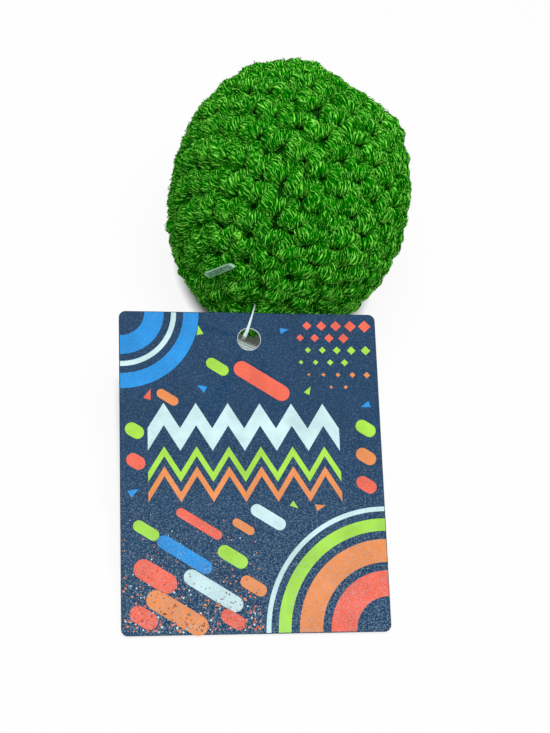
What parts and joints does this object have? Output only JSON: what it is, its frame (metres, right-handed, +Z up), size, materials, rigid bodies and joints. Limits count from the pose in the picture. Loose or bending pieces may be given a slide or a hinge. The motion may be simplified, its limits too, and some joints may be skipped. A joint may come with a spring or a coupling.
{
  "type": "footbag",
  "caption": "Crocheted ball filled with plastic pellets, with a card hang tag that swings on a clear nylon tag pin; it rests on its own flattened underside.",
  "frame": {"origin": "centre of the small flat that the filled bag rests on", "axes": "+Z up; -Y is the side that the hang tag leans out to; +X to the right seen from the tag's side"},
  "size_m": [0.0617, 0.1216, 0.0477],
  "materials": {
    "green_yarn": "crocheted acrylic yarn",
    "green_yarn_end": "acrylic yarn drawn tight",
    "green_yarn_tail": "frayed yarn end",
    "white_pellets": "plastic pellets",
    "clear_nylon": "clear moulded nylon",
    "clear_nylon_filament": "clear drawn nylon",
    "clear_nylon_paddle": "clear moulded nylon",
    "printed_card": "satin printed card"
  },
  "bodies": {
    "bag": {"crochet_cover": "green_yarn", "closing_yarn": "green_yarn_end", "yarn_tail": "green_yarn_tail", "pellet_fill": "white_pellets", "tag_pin_bar": "clear_nylon"},
    "filament_end": {"tag_pin_filament": "clear_nylon_filament"},
    "paddle": {"tag_pin_paddle": "clear_nylon_paddle"},
    "tag": {"hang_tag": "printed_card"}
  },
  "joints": [
    {"name": "filament_bend", "type": "hinge", "parent": "bag", "child": "filament_end", "pos_m": [-0.01126, -0.0341, 0.02193], "axis": [-1, 0, 0], "range_deg": [0, 60]},
    {"name": "tag_flap", "type": "hinge", "parent": "filament_end", "child": "paddle", "pos_m": [-0.0124, -0.03737, 0.01962], "axis": [-1, 0, 0], "range_deg": [0, 50]},
    {"name": "tag_turn", "type": "hinge", "parent": "paddle", "child": "tag", "pos_m": [-0.0124, -0.03737, 0.01962], "axis": [0, -0.342, 0.9397], "range_deg": [-15, 0]}
  ]
}
